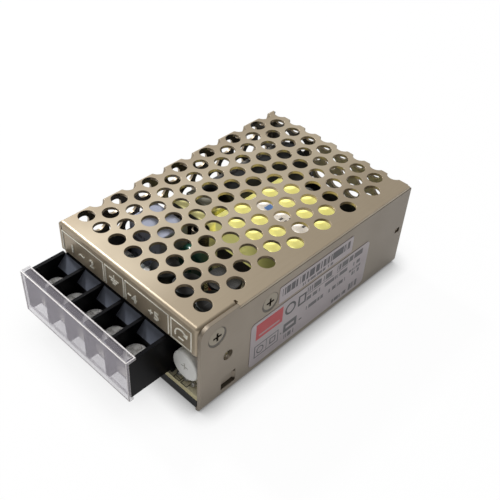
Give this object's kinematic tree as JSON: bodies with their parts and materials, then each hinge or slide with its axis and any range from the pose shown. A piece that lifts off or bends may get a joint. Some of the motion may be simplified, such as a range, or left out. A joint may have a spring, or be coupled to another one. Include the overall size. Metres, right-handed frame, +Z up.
{
  "type": "led power supply",
  "caption": "Small enclosed mains-to-DC supply for LED lighting: folded perforated metal case, barrier screw terminals with a clear cover, and an output trimmer.",
  "frame": {"origin": "centre of the bottom face of the case", "axes": "+Z up, +Y from the terminals to the back wall, +X towards the labelled side panel"},
  "size_m": [0.0511, 0.0904, 0.028],
  "materials": {
    "cover_steel": "matt zinc-coated sheet",
    "side_panel_steel": "matt zinc-coated sheet",
    "screw_steel": "bright nickel plate",
    "tinned_brass": "bright tin plate",
    "black_plastic": "satin moulded",
    "black_film": "satin",
    "clear_plastic": "hazy clear",
    "white_plastic": "satin moulded",
    "board_laminate": "solder mask",
    "yellow_tape": "polyester tape",
    "paper_label": "printed",
    "ferrite": "dull",
    "copper": "enamelled copper wire",
    "capacitor_sleeve": "shrink sleeve",
    "dark_green_coating": "dipped",
    "blue_coating": "dipped",
    "beige_coating": "lacquer",
    "grey_plastic": "moulded",
    "fuse_glass": "clear"
  },
  "bodies": {
    "power_supply": {"board_screws": "screw_steel", "bridge_rectifier": "black_plastic", "bulk_capacitor": "capacitor_sleeve", "case_screws": "screw_steel", "chassis": "side_panel_steel", "circuit_board": "board_laminate", "controller_chip": "black_plastic", "cover": "cover_steel", "emi_capacitor": "grey_plastic", "filter_capacitor": "grey_plastic", "fuse_caps": "screw_steel", "fuse_tube": "fuse_glass", "insulation_film": "black_film", "line_choke_band": "yellow_tape", "line_choke_core": "ferrite", "line_choke_windings": "copper", "optocoupler": "white_plastic", "output_capacitor_1": "capacitor_sleeve", "output_capacitor_2": "capacitor_sleeve", "output_capacitor_3": "capacitor_sleeve", "output_choke_coil": "copper", "output_choke_core": "ferrite", "rating_label": "paper_label", "rectifier_body": "black_plastic", "rectifier_nut": "screw_steel", "rectifier_pad": "grey_plastic", "rectifier_tab": "tinned_brass", "resistors": "beige_coating", "serial_label": "paper_label", "supply_capacitor": "capacitor_sleeve", "terminal_block": "black_plastic", "terminal_contact_1": "tinned_brass", "terminal_contact_2": "tinned_brass", "terminal_contact_3": "tinned_brass", "terminal_contact_4": "tinned_brass", "terminal_contact_5": "tinned_brass", "thermistor": "dark_green_coating", "transformer_bobbin": "black_plastic", "transformer_coil": "copper", "transformer_core": "ferrite", "transformer_label": "paper_label", "transformer_tape": "yellow_tape", "trimmer_body": "white_plastic", "y_capacitor": "blue_coating"},
    "clear_cover": {"terminal_cover": "clear_plastic"},
    "trimmer": {"trimmer_knob": "white_plastic"},
    "clamp_1": {"terminal_clamp_1": "screw_steel"},
    "screw_1": {"terminal_screw_1": "screw_steel"},
    "clamp_2": {"terminal_clamp_2": "screw_steel"},
    "screw_2": {"terminal_screw_2": "screw_steel"},
    "clamp_3": {"terminal_clamp_3": "screw_steel"},
    "screw_3": {"terminal_screw_3": "screw_steel"},
    "clamp_4": {"terminal_clamp_4": "screw_steel"},
    "screw_4": {"terminal_screw_4": "screw_steel"},
    "clamp_5": {"terminal_clamp_5": "screw_steel"},
    "screw_5": {"terminal_screw_5": "screw_steel"}
  },
  "joints": [
    {"name": "clear_cover_slide", "type": "slide", "parent": "power_supply", "child": "clear_cover", "axis": [0, -1, 0], "range_m": [0, 0.0035]},
    {"name": "trimmer_turn", "type": "hinge", "parent": "power_supply", "child": "trimmer", "pos_m": [0.02005, -0.0389, 0.0123], "axis": [0, -1, 0], "range_deg": [-135, 135]},
    {"name": "clamp_1_lift", "type": "slide", "parent": "power_supply", "child": "clamp_1", "axis": [0, 0, 1], "range_m": [0, 0.0024]},
    {"name": "screw_1_turn", "type": "hinge", "parent": "clamp_1", "child": "screw_1", "pos_m": [-0.02049, -0.0449, 0.0116], "axis": [0, 0, 1], "range_deg": [0, 1440]},
    {"name": "clamp_2_lift", "type": "slide", "parent": "power_supply", "child": "clamp_2", "axis": [0, 0, 1], "range_m": [0, 0.0024]},
    {"name": "screw_2_turn", "type": "hinge", "parent": "clamp_2", "child": "screw_2", "pos_m": [-0.01287, -0.0449, 0.0116], "axis": [0, 0, 1], "range_deg": [0, 1440]},
    {"name": "clamp_3_lift", "type": "slide", "parent": "power_supply", "child": "clamp_3", "axis": [0, 0, 1], "range_m": [0, 0.0024]},
    {"name": "screw_3_turn", "type": "hinge", "parent": "clamp_3", "child": "screw_3", "pos_m": [-0.00525, -0.0449, 0.0116], "axis": [0, 0, 1], "range_deg": [0, 1440]},
    {"name": "clamp_4_lift", "type": "slide", "parent": "power_supply", "child": "clamp_4", "axis": [0, 0, 1], "range_m": [0, 0.0024]},
    {"name": "screw_4_turn", "type": "hinge", "parent": "clamp_4", "child": "screw_4", "pos_m": [0.00237, -0.0449, 0.0116], "axis": [0, 0, 1], "range_deg": [0, 1440]},
    {"name": "clamp_5_lift", "type": "slide", "parent": "power_supply", "child": "clamp_5", "axis": [0, 0, 1], "range_m": [0, 0.0024]},
    {"name": "screw_5_turn", "type": "hinge", "parent": "clamp_5", "child": "screw_5", "pos_m": [0.00999, -0.0449, 0.0116], "axis": [0, 0, 1], "range_deg": [0, 1440]}
  ],
  "couplings": [
    {"joint": "screw_1_turn", "follows": "clamp_1_lift", "rad_per_m": 10472},
    {"joint": "screw_2_turn", "follows": "clamp_2_lift", "rad_per_m": 10472},
    {"joint": "screw_3_turn", "follows": "clamp_3_lift", "rad_per_m": 10472},
    {"joint": "screw_4_turn", "follows": "clamp_4_lift", "rad_per_m": 10472},
    {"joint": "screw_5_turn", "follows": "clamp_5_lift", "rad_per_m": 10472}
  ]
}
